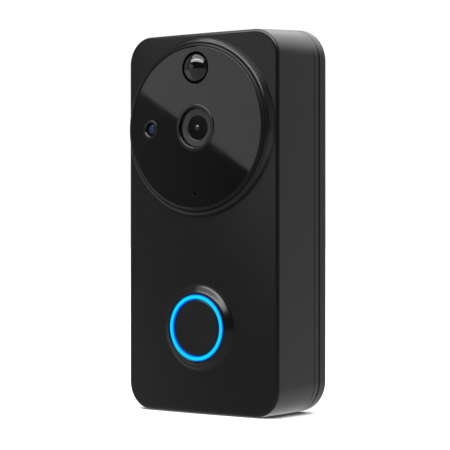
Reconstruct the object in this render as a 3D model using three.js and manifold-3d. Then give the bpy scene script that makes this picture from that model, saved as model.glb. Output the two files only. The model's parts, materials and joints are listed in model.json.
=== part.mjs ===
// Battery video doorbell on its wall bracket.
// Millimetres. +X is to the right as seen from the front, +Z is up, the wall is the plane Y = 0 and the
// front faces -Y. The origin is the centre of the bracket's wall face.

import * as THREE from 'three';
import { mergeVertices } from 'three/addons/utils/BufferGeometryUtils.js';
import Module from 'manifold-3d';

const wasm = await Module();
wasm.setup();

// ---------- driving dimensions ----------

const DEPTH = 30;
const FRONT_HALF_WIDTH = 33.85;
const BASE = -70;
const FRONT_TOP = 68.04;
const FLARE = 1.96;
const FRONT_CORNER = 9.95;
const CROWN = 1.2;
const FRONT_EDGE = 1.2;
const WALL = 2;
const CHAMFER = 0.2;

const PARTING = -7.7;
const COVER_REAR = -5.1;
const BRACKET_FRONT = -4.7;
const BRACKET_EDGE = 1.67;
const BRACKET_PLATE = 2.2;

const OPTICS_Z = 33.7;
const PANEL_RADIUS = 29.3;
const PANEL_FRONT = -32.55;
const PANEL_THICKNESS = 1.4;
const BEZEL_RADIUS = 30.5;
const LIP_RADIUS = 28;
const PIR_OFFSET = 21.6;
const PIR_RADIUS = 5.75;
const PIR_SPHERE = 5.85;
const PIR_PROUD = 2.95;
const CAMERA_RADIUS = 7.2;
const TRIM_RADIUS = 8.5;
const PUPIL_RADIUS = 4.35;
const EYE_OFFSET = -20.7;
const EYE_RADIUS = 1.9;
const COLLAR_RADIUS = 3.3;
const MIC_OFFSET = -24.1;
const BOARD_THICKNESS = 1.2;
const SENSOR_BOARD_FRONT = -27.4;

const BUTTON_Z = -38.8;
const CAP_RADIUS = 10.2;
const RING_INNER = 10.4;
const RING_OUTER = 12;
const SURROUND_FRONT = -32.2;
const BUTTON_BOARD_FRONT = -26.2;

const CELL_RADIUS = 9.2;
const CELL_LENGTH = 64;
const CELL_X = 21.6;
const CELL_Y = -17.5;
const CELLS_Z = -26.5;
const CELL_BAY = 34.1;

const MAIN_BOARD_FRONT = -17.6;
const MAIN_BOARD_REAR = -16;
const SOCKET = { x: -4, z: 20 };
const RESET = { x: 9, z: 20 };
const SCREWS = [[-27.5, 61.3], [27.5, 61.3], [-27.6, -62.6], [27.6, -62.6]];
const WINDOW = { halfWidth: 15, bottom: 8, top: 34 };

const PANEL_SHELF = -29;
const COLLAR_TOP = -31.7;
const RING_SHELF = -29.6;
const SEAL_FRONT = -29.6;
const SWITCH_FRONT = -29.6;
const SWITCH_HALF = 3;
const CAP_HEM = -28.6;
const CAP_FLANGE = 11.1;
const TRAY_CUT_FRONT = -28;
const TRAY_CUT_REAR = -26;

const HOOK = { near: 14, far: 22, bottom: 59.4, stem: 60.8, tip: 62, front: -7.4, step: -6.5, root: -2 };
const LATCH_HALF_WIDTH = 5;
const POCKET_WALL = 1;
const POCKET_FLOOR = -7.9;
const POCKET_CAP = -9.1;
const POCKETS = [
  { x0: -22.2, x1: -13.8, z0: 58.2, z1: 62.6 },
  { x0: 13.8, x1: 22.2, z0: 58.2, z1: 62.6 },
  { x0: -5.8, x1: 5.8, z0: -64.2, z1: -60.2 },
];
const SCREW = { shank: 1.1, head: 2.4, tip: -16, seat: COVER_REAR - 1.3, recess: 0.6 };
const CROSS = { arm: 1.4, half: 0.25 };
const SPEAKER_SLOTS = { pitch: 3.2, half: 0.8, front: -23, rear: -15 };
const SPEAKER = { half: 9.5, front: -26, rear: -12, cone: -19 };
const MAIN_BOARD = { half: 24, bottom: 14, top: 57.5 };
const TRAY = { half: 30, front: -27.5, rear: -26.8, wallRear: -9.5 };

// Cutting tools pass right through the front of the body between these planes, and end this far past a face.
const CUT_FRONT = -40;
const CUT_REAR = -20;
const OVERCUT = 1;
// Solids that are joined sink into each other by this much.
const SINK = 0.1;

const COARSE = 12;
const MEDIUM = 20;
const SMOOTH = 32;
const FINE = 40;

// ---------- solids ----------

function signedVolume(positions, triangles) {
  let sum = 0;
  const a = new THREE.Vector3();
  const b = new THREE.Vector3();
  const c = new THREE.Vector3();
  for (let i = 0; i < triangles.length; i += 3) {
    a.fromArray(positions, triangles[i] * 3);
    b.fromArray(positions, triangles[i + 1] * 3);
    c.fromArray(positions, triangles[i + 2] * 3);
    sum += a.dot(b.cross(c));
  }
  return sum;
}

// A closed three.js geometry as a solid, with merged vertices and its faces pointing out.
function solid(geometry) {
  geometry.deleteAttribute('normal');
  geometry.deleteAttribute('uv');
  const merged = mergeVertices(geometry, 1e-4);
  const positions = merged.attributes.position.array;
  const source = merged.index.array;
  const triangles = [];
  for (let i = 0; i < source.length; i += 3) {
    const [a, b, c] = [source[i], source[i + 1], source[i + 2]];
    if (a !== b && b !== c && c !== a) triangles.push(a, b, c);
  }
  if (signedVolume(positions, triangles) < 0) triangles.reverse();
  return new wasm.Manifold(new wasm.Mesh({
    numProp: 3,
    vertProperties: new Float32Array(positions),
    triVerts: new Uint32Array(triangles),
  }));
}

function geometryOf(body) {
  const mesh = body.getMesh();
  const geometry = new THREE.BufferGeometry();
  geometry.setAttribute('position', new THREE.BufferAttribute(new Float32Array(mesh.vertProperties), 3));
  geometry.setIndex(new THREE.BufferAttribute(new Uint32Array(mesh.triVerts), 1));
  geometry.computeVertexNormals();
  return geometry;
}

function box(x0, x1, y0, y1, z0, z1) {
  const geometry = new THREE.BoxGeometry(x1 - x0, y1 - y0, z1 - z0);
  geometry.translate((x0 + x1) / 2, (y0 + y1) / 2, (z0 + z1) / 2);
  return solid(geometry);
}

// A turned piece about the Y axis through (x, z). The profile is a list of [radius, y].
function turned(profile, segments = MEDIUM, x = 0, z = 0) {
  const points = profile.map(([radius, y]) => new THREE.Vector2(radius, y));
  if (profile[0][0] > 0) points.push(points[0].clone());
  const geometry = new THREE.LatheGeometry(points, segments);
  geometry.translate(x, 0, z);
  return solid(geometry);
}

function rod(radius, y0, y1, segments = MEDIUM, x = 0, z = 0) {
  return turned([[0, y0], [radius, y0], [radius, y1], [0, y1]], segments, x, z);
}

function ring(inner, outer, y0, y1, segments = MEDIUM, x = 0, z = 0) {
  return turned([[inner, y0], [outer, y0], [outer, y1], [inner, y1]], segments, x, z);
}

function joined(first, ...others) {
  return others.reduce((sum, other) => sum.add(other), first);
}

function cut(first, ...others) {
  return others.reduce((rest, other) => rest.subtract(other), first);
}

// The body's outline at depth y, moved in by inset: its top and base edges share their X positions,
// so a cap between them is a row of strips that can follow the crowned front.
function outlineAt(y, inset) {
  const flare = FLARE * (y + DEPTH) / DEPTH;
  const halfWidth = FRONT_HALF_WIDTH + flare - inset;
  const top = FRONT_TOP + flare - inset;
  const base = BASE + inset;
  const radius = FRONT_CORNER + flare - inset;
  const arcSteps = 5;
  const straightSteps = 6;
  const columns = [];
  for (let i = 0; i <= arcSteps; i++) {
    const angle = (i / arcSteps) * Math.PI / 2;
    columns.push([-halfWidth + radius * (1 - Math.cos(angle)), radius * (1 - Math.sin(angle))]);
  }
  for (let i = 1; i < straightSteps; i++) {
    columns.push([(halfWidth - radius) * (2 * i / straightSteps - 1), 0]);
  }
  for (let i = arcSteps; i >= 0; i--) {
    columns.push([-columns[i][0], columns[i][1]]);
  }
  const upper = columns.map(([x, drop]) => [x, top - drop]);
  const lower = columns.map(([x, drop]) => [x, base + drop]).reverse();
  return [...upper, ...lower];
}

// A body lofted through the outline at each section [y, inset]. The crown bends it back at its sides.
function loft(sections, crown = 0) {
  const rings = sections.map(([y, inset]) => outlineAt(y, inset));
  const count = rings[0].length;
  const positions = [];
  rings.forEach((points, i) => {
    const y = sections[i][0];
    const share = THREE.MathUtils.clamp((PARTING - y) / (PARTING + DEPTH), 0, 1);
    for (const [x, z] of points) {
      positions.push(x, y + crown * share * (x / FRONT_HALF_WIDTH) ** 2, z);
    }
  });
  const triangles = [];
  for (let i = 0; i < rings.length - 1; i++) {
    for (let j = 0; j < count; j++) {
      const a = i * count + j;
      const b = i * count + (j + 1) % count;
      triangles.push(a, b, a + count, b, b + count, a + count);
    }
  }
  const last = (rings.length - 1) * count;
  for (let j = 0; j < count / 2 - 1; j++) {
    const [a, b, c, d] = [j, j + 1, count - 2 - j, count - 1 - j];
    triangles.push(a, c, b, a, d, c);
    triangles.push(last + a, last + b, last + c, last + a, last + c, last + d);
  }
  const geometry = new THREE.BufferGeometry();
  geometry.setAttribute('position', new THREE.Float32BufferAttribute(positions, 3));
  geometry.setIndex(triangles);
  return solid(geometry);
}

// Sections of a rounded edge at depth y: the outline grows to its full size going towards +Y.
function roundedFront(y, radius, steps) {
  const sections = [];
  for (let i = 0; i <= steps; i++) {
    const angle = (i / steps) * Math.PI / 2;
    sections.push([y + radius * (1 - Math.cos(angle)), radius * (1 - Math.sin(angle))]);
  }
  return sections;
}

// ---------- materials ----------

function material(color, roughness, metalness = 0, emissive = 0x000000) {
  return new THREE.MeshStandardMaterial({ color, roughness, metalness, emissive });
}

const MATERIALS = {
  housing: material(0x1e1e1e, 0.45),
  bezel: material(0x1a1a1a, 0.5),
  panel: material(0x050506, 0.05),
  trim: material(0x080808, 0.12),
  baffle: material(0x3c3a36, 0.35),
  glass: material(0x9aa4ac, 0.02),
  lens: material(0x040408, 0.03),
  eye: material(0x2c4a7c, 0.12),
  cap: material(0x1b1b1d, 0.5),
  glow: material(0x00f0ff, 0.4, 0, 0x00e8ff),
  inner: material(0x2a2a2c, 0.6),
  board: material(0x0d3b24, 0.5),
  chip: material(0x15151a, 0.4),
  metal: material(0xb8babd, 0.3, 1),
  brass: material(0xc8a050, 0.35, 1),
  led: material(0xdfe6f0, 0.2),
  rubber: material(0x111111, 0.85),
  cell: material(0x2f6fae, 0.4),
  flex: material(0xb8691c, 0.4),
};

function addPart(group, name, body, materialName) {
  const mesh = new THREE.Mesh(geometryOf(body), MATERIALS[materialName]);
  mesh.name = name;
  group.add(mesh);
}

function groupAt(parent, x, y, z) {
  const group = new THREE.Group();
  group.position.set(x, y, z);
  parent.add(group);
  return group;
}

// ---------- wall bracket ----------

function screwSlot(x, z, halfLengthX, halfLengthZ) {
  const radius = 2.3;
  return joined(
    box(x - Math.max(halfLengthX, radius), x + Math.max(halfLengthX, radius), -6, 1,
      z - Math.max(halfLengthZ, radius), z + Math.max(halfLengthZ, radius)),
    rod(radius, -6, 1, COARSE, x - halfLengthX, z - halfLengthZ),
    rod(radius, -6, 1, COARSE, x + halfLengthX, z + halfLengthZ),
  );
}

function bracketHook(side) {
  const [x0, x1] = side > 0 ? [HOOK.near, HOOK.far] : [-HOOK.far, -HOOK.near];
  return joined(
    box(x0, x1, HOOK.front, HOOK.root, HOOK.bottom, HOOK.stem),
    box(x0, x1, HOOK.front, HOOK.step, HOOK.bottom, HOOK.tip),
  );
}

function buildBracket(root) {
  const rear = roundedFront(0, -BRACKET_EDGE, 3).reverse().map(([y, inset]) => [y, -inset]);
  const outer = loft([[BRACKET_FRONT, CHAMFER], [BRACKET_FRONT + CHAMFER, 0], ...rear]);
  const pocket = loft([[BRACKET_FRONT - OVERCUT, WALL + CHAMFER], [-BRACKET_PLATE, WALL + CHAMFER]]);
  const opening = box(-WINDOW.halfWidth, WINDOW.halfWidth, -6, 1, WINDOW.bottom, WINDOW.top);
  let bracket = cut(outer, pocket, opening, screwSlot(0, 50, 0, 4), screwSlot(0, -46, 4, 0));
  bracket = joined(bracket, bracketHook(-1), bracketHook(1));
  addPart(root, 'wall_bracket', bracket, 'housing');

  const clip = joined(
    box(-LATCH_HALF_WIDTH, LATCH_HALF_WIDTH, -2.8, -BRACKET_PLATE, -66, -55),
    box(-LATCH_HALF_WIDTH, LATCH_HALF_WIDTH, -7.3, -2.3, -61.9, -61.3),
    box(-LATCH_HALF_WIDTH, LATCH_HALF_WIDTH, -7.3, -6.8, -63.2, -61.3),
  );
  addPart(root, 'latch_clip', clip, 'metal');
}

// ---------- housing ----------

function speakerSlots() {
  const slots = [];
  for (let i = -2; i <= 2; i++) {
    const { pitch, half, front, rear } = SPEAKER_SLOTS;
    const x = pitch * i;
    slots.push(box(x - half, x + half, front, rear, BASE - OVERCUT, BASE + WALL + OVERCUT));
  }
  return slots;
}

function buildFrontHousing(root) {
  const shell = cut(
    loft([
      ...roundedFront(-DEPTH, FRONT_EDGE, 3),
      [PARTING - CHAMFER, 0],
      [PARTING, CHAMFER],
    ], CROWN),
    loft([[-DEPTH + 2.4, WALL], [PARTING + OVERCUT, WALL]]),
  );
  const collar = turned([
    [0, -28.7], [33, -28.7], [32.15, -29.9], [30.9, COLLAR_TOP], [0, COLLAR_TOP],
  ], FINE, 0, OPTICS_Z);
  const surround = turned([
    [0, -28.7], [15.6, -28.7], [15.3, -30.1], [13.2, SURROUND_FRONT], [0, SURROUND_FRONT],
  ], SMOOTH, 0, BUTTON_Z);
  const bosses = SCREWS.map(([x, z]) => rod(2.5, -DEPTH + 2, PARTING - SINK, COARSE, x, z));
  const bores = SCREWS.map(([x, z]) => rod(1.2, -20, 0, COARSE, x, z));
  const groove = cut(
    loft([[PARTING - 0.8, 0.6], [PARTING + OVERCUT, 0.6]]),
    loft([[PARTING - 1, 1.4], [PARTING + 2, 1.4]]),
  );
  const housing = cut(
    joined(shell, collar, surround, ...bosses),
    ...bores,
    groove,
    rod(BEZEL_RADIUS + 0.1, CUT_FRONT, PANEL_SHELF, FINE, 0, OPTICS_Z),
    rod(LIP_RADIUS, CUT_FRONT, CUT_REAR, FINE, 0, OPTICS_Z),
    rod(RING_OUTER + 0.15, CUT_FRONT, CUT_REAR, SMOOTH, 0, BUTTON_Z),
    rod(RING_OUTER + 1.3, RING_SHELF, CUT_REAR, SMOOTH, 0, BUTTON_Z),
    ...speakerSlots(),
  );
  addPart(root, 'front_housing', housing, 'housing');

  const gasket = cut(
    loft([[PARTING - 0.75, 0.65], [PARTING, 0.65]]),
    loft([[PARTING - 1, 1.35], [PARTING + 1, 1.35]]),
  );
  addPart(root, 'housing_gasket', gasket, 'rubber');
}

function buildRearCover(root) {
  const plate = loft([
    [PARTING, CHAMFER],
    [PARTING + CHAMFER, 0],
    [COVER_REAR - CHAMFER, 0],
    [COVER_REAR, CHAMFER],
  ]);
  const tongue = cut(
    loft([[PARTING - 1.5, WALL + 0.15], [PARTING + SINK, WALL + 0.15]]),
    loft([[PARTING - 2, WALL + 1.3], [PARTING + 1, WALL + 1.3]]),
  );
  const posts = [[-21.5, 17], [21.5, 17], [-21.5, 54.5], [21.5, 54.5]]
    .map(([x, z]) => rod(1.6, MAIN_BOARD_REAR, PARTING + SINK, COARSE, x, z));
  const pocketWalls = POCKETS.map(({ x0, x1, z0, z1 }) => box(x0 - POCKET_WALL, x1 + POCKET_WALL,
    POCKET_CAP, PARTING + SINK, z0 - POCKET_WALL, z1 + POCKET_WALL));
  const pockets = POCKETS.map(({ x0, x1, z0, z1 }) => box(x0, x1, POCKET_FLOOR, 0, z0, z1));
  const counterbores = SCREWS.map(([x, z]) => rod(SCREW.head + 0.3, SCREW.seat, 0, COARSE, x, z));
  const screwHoles = SCREWS.map(([x, z]) => rod(SCREW.shank + 0.2, -12, 0, COARSE, x, z));
  const { x, z } = SOCKET;
  const cover = cut(
    joined(plate, tongue, ...posts, ...pocketWalls),
    ...pockets,
    ...counterbores,
    ...screwHoles,
    box(x - 6.2, x + 6.2, COVER_REAR - 1.5, 0, z - 4.3, z + 4.2),
    box(x - 4.7, x + 4.7, -9, COVER_REAR - 1.4, z - 2.8, z + 2.6),
    rod(2.2, -9, 0, COARSE, RESET.x, RESET.z),
  );
  addPart(root, 'rear_cover', cover, 'housing');

  SCREWS.forEach(([screwX, screwZ], i) => {
    const { shank, head, tip, seat, recess } = SCREW;
    const screw = cut(
      turned([[0, tip], [shank, tip], [shank, seat], [head, seat], [head, seat + 0.9],
        [head - 0.5, seat + 1.2], [0, seat + 1.2]], COARSE),
      box(-CROSS.arm, CROSS.arm, seat + recess, 0, -CROSS.half, CROSS.half),
      box(-CROSS.half, CROSS.half, seat + recess, 0, -CROSS.arm, CROSS.arm),
    );
    addPart(groupAt(root, screwX, 0, screwZ), `housing_screw_${i + 1}`, screw, 'metal');
  });
}

function buildRearControls(root) {
  const { x, z } = SOCKET;
  const lid = joined(
    box(x - 6, x + 6, COVER_REAR - 1.4, COVER_REAR, z - 4, z + 4),
    box(x - 4.2, x + 4.2, COVER_REAR - 2.2, COVER_REAR - 1.3, z - 1.8, z + 1.8),
    box(x - 2, x + 2, COVER_REAR - 0.1, COVER_REAR + 0.25, z - 3.6, z - 2.6),
  );
  addPart(root, 'port_cover', lid, 'rubber');

  const reset = turned([
    [0, -8.6], [2.7, -8.6], [2.7, -7.9], [2, -7.9], [2, -5.4], [0, -5.4],
  ], COARSE);
  addPart(groupAt(root, RESET.x, 0, RESET.z), 'reset_button', reset, 'rubber');
}

// ---------- camera panel ----------

function buildPanel(optics) {
  const ledge = PANEL_FRONT + PANEL_THICKNESS + 0.3;
  const inner = PANEL_RADIUS + 0.1;
  const bezel = turned([
    [28.4, PANEL_SHELF], [BEZEL_RADIUS, PANEL_SHELF], [BEZEL_RADIUS, COLLAR_TOP],
    [inner + 0.1, PANEL_FRONT - 0.05],
    [inner, PANEL_FRONT - 0.05], [inner, ledge], [28.4, ledge],
  ], FINE);
  addPart(optics, 'bezel_ring', bezel, 'bezel');

  const panelRear = PANEL_FRONT + PANEL_THICKNESS;
  const panel = cut(
    turned([[0, PANEL_FRONT], [PANEL_RADIUS - 0.15, PANEL_FRONT], [PANEL_RADIUS, PANEL_FRONT + 0.15],
      [PANEL_RADIUS, panelRear], [0, panelRear]], FINE),
    rod(CAMERA_RADIUS + 0.4, CUT_FRONT, CUT_REAR, MEDIUM),
    rod(PIR_RADIUS + 0.2, CUT_FRONT, CUT_REAR, MEDIUM, 0, PIR_OFFSET),
    rod(COLLAR_RADIUS + 0.1, CUT_FRONT, CUT_REAR, MEDIUM, EYE_OFFSET, 0),
    rod(0.55, CUT_FRONT, CUT_REAR, COARSE, 0, MIC_OFFSET),
  );
  addPart(optics, 'lens_panel', panel, 'panel');
  addPart(optics, 'panel_seal', ring(28.5, PANEL_RADIUS, panelRear, ledge, FINE), 'rubber');
}

const IR_LEDS = [[-9.6, 9.6], [9.6, 9.6], [9.6, -9.6], [-9.6, -9.6]];

function buildSensors(optics) {
  const boardRear = SENSOR_BOARD_FRONT + BOARD_THICKNESS;
  const legs = [[-20, 14], [20, 14], [18, -17], [-18, -17]]
    .map(([x, z]) => rod(1.3, -30, SENSOR_BOARD_FRONT, COARSE, x, z));
  const frame = cut(
    joined(rod(27.9, -31.05, -29.8, MEDIUM), ...legs),
    rod(CAMERA_RADIUS + 0.5, CUT_FRONT, CUT_REAR),
    rod(PIR_RADIUS + 0.3, CUT_FRONT, CUT_REAR, MEDIUM, 0, PIR_OFFSET),
    rod(COLLAR_RADIUS + 0.2, CUT_FRONT, CUT_REAR, COARSE, EYE_OFFSET, 0),
    rod(2.5, CUT_FRONT, CUT_REAR, COARSE, 0, MIC_OFFSET),
    ...IR_LEDS.map(([x, z]) => rod(1.9, CUT_FRONT, CUT_REAR, COARSE, x, z)),
  );
  addPart(optics, 'optics_frame', frame, 'inner');

  const board = cut(
    rod(27, SENSOR_BOARD_FRONT, boardRear, MEDIUM),
    rod(PUPIL_RADIUS + 0.5, CUT_FRONT, CUT_REAR, MEDIUM),
  );
  addPart(optics, 'sensor_board', board, 'board');

  IR_LEDS.forEach(([x, z], i) => {
    const led = turned([
      [0, -30.6], [0.8, -30.4], [1.35, -29.9], [1.5, -29.3], [1.5, SENSOR_BOARD_FRONT],
      [0, SENSOR_BOARD_FRONT],
    ], COARSE);
    addPart(groupAt(optics, x, 0, z), `ir_led_${i + 1}`, led, 'led');
  });

  addPart(groupAt(optics, 0, 0, MIC_OFFSET), 'microphone',
    box(-1.9, 1.9, -28.5, SENSOR_BOARD_FRONT, -1.5, 1.5), 'metal');
  addPart(groupAt(optics, 0, 0, MIC_OFFSET), 'microphone_boot',
    ring(0.6, 2.2, -31.1, -28.6, COARSE), 'rubber');
}

// A dome's profile from its apex at [0, apexY] to its rim at [radius, rimY].
function domeProfile(radius, apexY, rimY, steps) {
  const points = [];
  for (let i = 0; i <= steps; i++) {
    const angle = (i / steps) * Math.PI / 2;
    points.push([radius * Math.sin(angle), rimY + (apexY - rimY) * Math.cos(angle)]);
  }
  return points;
}

// A part of a sphere's profile from its apex at [0, apexY] out to the given radius.
function capProfile(radius, sphere, apexY, steps) {
  const reach = Math.asin(radius / sphere);
  const points = [];
  for (let i = 0; i <= steps; i++) {
    const angle = (i / steps) * reach;
    points.push([sphere * Math.sin(angle), apexY + sphere * (1 - Math.cos(angle))]);
  }
  return points;
}

function buildMotionSensor(optics) {
  const group = groupAt(optics, 0, 0, PIR_OFFSET);
  const apex = PANEL_FRONT - PIR_PROUD;
  const thickness = 0.8;
  const rear = -29.4;
  const dome = turned([
    ...capProfile(PIR_RADIUS - 0.2, PIR_SPHERE, apex, 8),
    [PIR_RADIUS, apex + PIR_SPHERE - 1.6], [PIR_RADIUS, rear], [4.6, rear],
    ...capProfile(4.6, PIR_SPHERE - thickness, apex + thickness, 5).reverse(),
  ], MEDIUM);
  addPart(group, 'pir_lens', dome, 'panel');
  addPart(group, 'pir_sensor', turned([
    [0, -30.6], [4.1, -30.6], [4.3, -30.4], [4.3, -28], [4.6, -28], [4.6, SENSOR_BOARD_FRONT],
    [0, SENSOR_BOARD_FRONT],
  ], MEDIUM), 'metal');
}

function buildLightSensor(optics) {
  const group = groupAt(optics, EYE_OFFSET, 0, 0);
  addPart(group, 'light_sensor_collar', turned([
    [EYE_RADIUS + 0.25, -30.2], [COLLAR_RADIUS, -30.2], [COLLAR_RADIUS, PANEL_FRONT - 0.05],
    [COLLAR_RADIUS - 0.3, PANEL_FRONT - 0.2], [COLLAR_RADIUS - 0.6, PANEL_FRONT - 0.2],
    [EYE_RADIUS + 0.25, PANEL_FRONT + 0.5],
  ], MEDIUM), 'trim');
  addPart(group, 'light_sensor', turned([
    ...domeProfile(EYE_RADIUS, PANEL_FRONT + 0.45, PANEL_FRONT + 1.2, 4),
    [EYE_RADIUS, SENSOR_BOARD_FRONT], [0, SENSOR_BOARD_FRONT],
  ], MEDIUM), 'eye');
}

function buildCamera(optics) {
  const trim = turned([
    [CAMERA_RADIUS, -30.3], [CAMERA_RADIUS + 0.3, -30.3], [CAMERA_RADIUS + 0.3, PANEL_FRONT],
    [TRIM_RADIUS, PANEL_FRONT], [TRIM_RADIUS, PANEL_FRONT - 0.2], [TRIM_RADIUS - 0.3, PANEL_FRONT - 0.4],
    [CAMERA_RADIUS + 0.3, PANEL_FRONT - 0.4], [CAMERA_RADIUS, PANEL_FRONT - 0.1],
  ], MEDIUM);
  addPart(optics, 'camera_trim_ring', trim, 'trim');
  addPart(optics, 'camera_cover_glass', rod(CAMERA_RADIUS - 0.1, -32.5, -31.95, MEDIUM), 'glass');
  addPart(optics, 'camera_baffle', ring(PUPIL_RADIUS + 0.15, CAMERA_RADIUS - 0.1, -31.5, -30.8, MEDIUM),
    'baffle');
  addPart(optics, 'front_lens_element', turned([
    ...domeProfile(PUPIL_RADIUS, -31.85, -31.1, 5), [PUPIL_RADIUS, -30.8], [0, -30.8],
  ], MEDIUM), 'lens');
  addPart(optics, 'lens_barrel', rod(PUPIL_RADIUS - 0.05, -30.7, -23.9, MEDIUM), 'inner');

  const holder = cut(
    box(-6.5, 6.5, -25.9, -20.6, -6.5, 6.5),
    rod(PUPIL_RADIUS + 0.1, -30, -22, MEDIUM),
    box(-4.5, 4.5, -22.4, -20, -4.3, 4.3),
  );
  addPart(optics, 'lens_holder', holder, 'inner');
  addPart(optics, 'image_sensor', box(-3.7, 3.7, -21.5, -20.6, -3.1, 3.1), 'chip');
  addPart(optics, 'camera_board', box(-10, 10, -20.6, -19.6, -10, 10), 'board');
}

// ---------- button ----------

function buildButton(root) {
  const group = groupAt(root, 0, 0, BUTTON_Z);
  const cap = turned([
    [0, -32], [CAP_RADIUS - 0.5, -32], [CAP_RADIUS - 0.15, -31.9], [CAP_RADIUS, -31.6],
    [CAP_RADIUS, -29.4], [CAP_FLANGE, -29.4], [CAP_FLANGE, CAP_HEM], [8.7, CAP_HEM], [8.7, -30.6], [2, -30.6],
    [2, -30.3], [0, -30.3],
  ], SMOOTH);
  addPart(group, 'button_cap', cap, 'cap');
  addPart(group, 'light_ring', turned([
    [RING_INNER, -32.15], [RING_OUTER, -32.15], [RING_OUTER, RING_SHELF],
    [RING_OUTER + 1.15, RING_SHELF], [RING_OUTER + 1.15, -28.8], [CAP_FLANGE + 0.2, -28.8],
    [CAP_FLANGE + 0.2, RING_SHELF], [RING_INNER, RING_SHELF],
  ], SMOOTH), 'glow');
  // The cap's skirt slides over this sleeve, which keeps the switch dry.
  addPart(group, 'button_seal', ring(7.6, 8.6, SEAL_FRONT, BUTTON_BOARD_FRONT, MEDIUM), 'rubber');
  addPart(group, 'button_board', cut(
    rod(14.4, BUTTON_BOARD_FRONT, BUTTON_BOARD_FRONT + BOARD_THICKNESS, MEDIUM),
    rod(1, -30, -20, COARSE, 0, -12.6),
  ), 'board');
  addPart(group, 'tact_switch', cut(
    box(-SWITCH_HALF, SWITCH_HALF, SWITCH_FRONT, BUTTON_BOARD_FRONT, -SWITCH_HALF, SWITCH_HALF),
    rod(1.8, -31, -28, COARSE),
  ), 'chip');
  addPart(group, 'tact_plunger', rod(1.65, -30.2, -28.6, COARSE), 'inner');
  for (let i = 0; i < 4; i++) {
    const angle = Math.PI / 4 + i * Math.PI / 2;
    const led = groupAt(group, 12.3 * Math.cos(angle), 0, 12.3 * Math.sin(angle));
    addPart(led, `ring_led_${i + 1}`, box(-0.8, 0.8, -27.2, BUTTON_BOARD_FRONT, -0.8, 0.8), 'led');
  }
  addPart(root, 'button_flex', joined(
    box(-3, 3, -25, -24.7, -28, 11),
    box(-3, 3, -25, MAIN_BOARD_FRONT, 10.7, 11),
    box(-3, 3, MAIN_BOARD_FRONT - 0.3, MAIN_BOARD_FRONT, 10.7, 18),
  ), 'flex');
}

// ---------- electronics and power ----------

function buildMainBoard(root) {
  const board = cut(
    box(-MAIN_BOARD.half, MAIN_BOARD.half, MAIN_BOARD_FRONT, MAIN_BOARD_REAR, MAIN_BOARD.bottom,
      MAIN_BOARD.top),
    rod(1, -20, -10, COARSE, -21.5, 50),
    rod(1, -20, -10, COARSE, 21.5, 50),
  );
  addPart(root, 'main_board', board, 'board');
  addPart(root, 'processor', box(-17, -3, MAIN_BOARD_REAR, -14.4, 37, 51), 'chip');
  addPart(root, 'radio_module', box(4, 18, MAIN_BOARD_REAR, -13.8, 34, 52), 'metal');

  const { x, z } = SOCKET;
  const shell = cut(
    box(x - 4.5, x + 4.5, MAIN_BOARD_REAR, -8.2, z - 1.6, z + 1.6),
    box(x - 4.1, x + 4.1, -13.5, -8, z - 1.2, z + 1.2),
  );
  const tongue = box(x - 3.3, x + 3.3, -14, -9, z - 0.35, z + 0.35);
  addPart(root, 'charging_socket', joined(shell, tongue), 'metal');

  const resetSwitch = joined(
    box(-2.5, 2.5, MAIN_BOARD_REAR, -13, -2.5, 2.5),
    rod(0.9, -13.5, -9.1, COARSE),
  );
  addPart(groupAt(root, RESET.x, 0, RESET.z), 'reset_switch', resetSwitch, 'chip');
}

function buildSpeaker(root) {
  const floor = BASE + WALL;
  const { half, front, rear, cone } = SPEAKER;
  const rim = 1.5;
  const top = floor + 1.2;
  const gasket = cut(
    box(-half, half, front, rear, floor, top),
    box(rim - half, half - rim, front + rim, rear - rim, floor - OVERCUT, floor + 2),
  );
  addPart(root, 'speaker_gasket', gasket, 'rubber');
  const geometry = new THREE.CylinderGeometry(3.5, 6, 2, MEDIUM);
  geometry.rotateX(Math.PI / 2);
  geometry.translate(0, cone, floor + 1.7);
  const speaker = cut(box(-half, half, front, rear, top, floor + 6.4), solid(geometry));
  addPart(root, 'speaker', speaker, 'chip');
}

function uprightRod(radius, z0, z1, segments) {
  const geometry = new THREE.CylinderGeometry(radius, radius, z1 - z0, segments);
  geometry.rotateX(Math.PI / 2);
  geometry.translate(0, 0, (z0 + z1) / 2);
  return solid(geometry);
}

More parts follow.
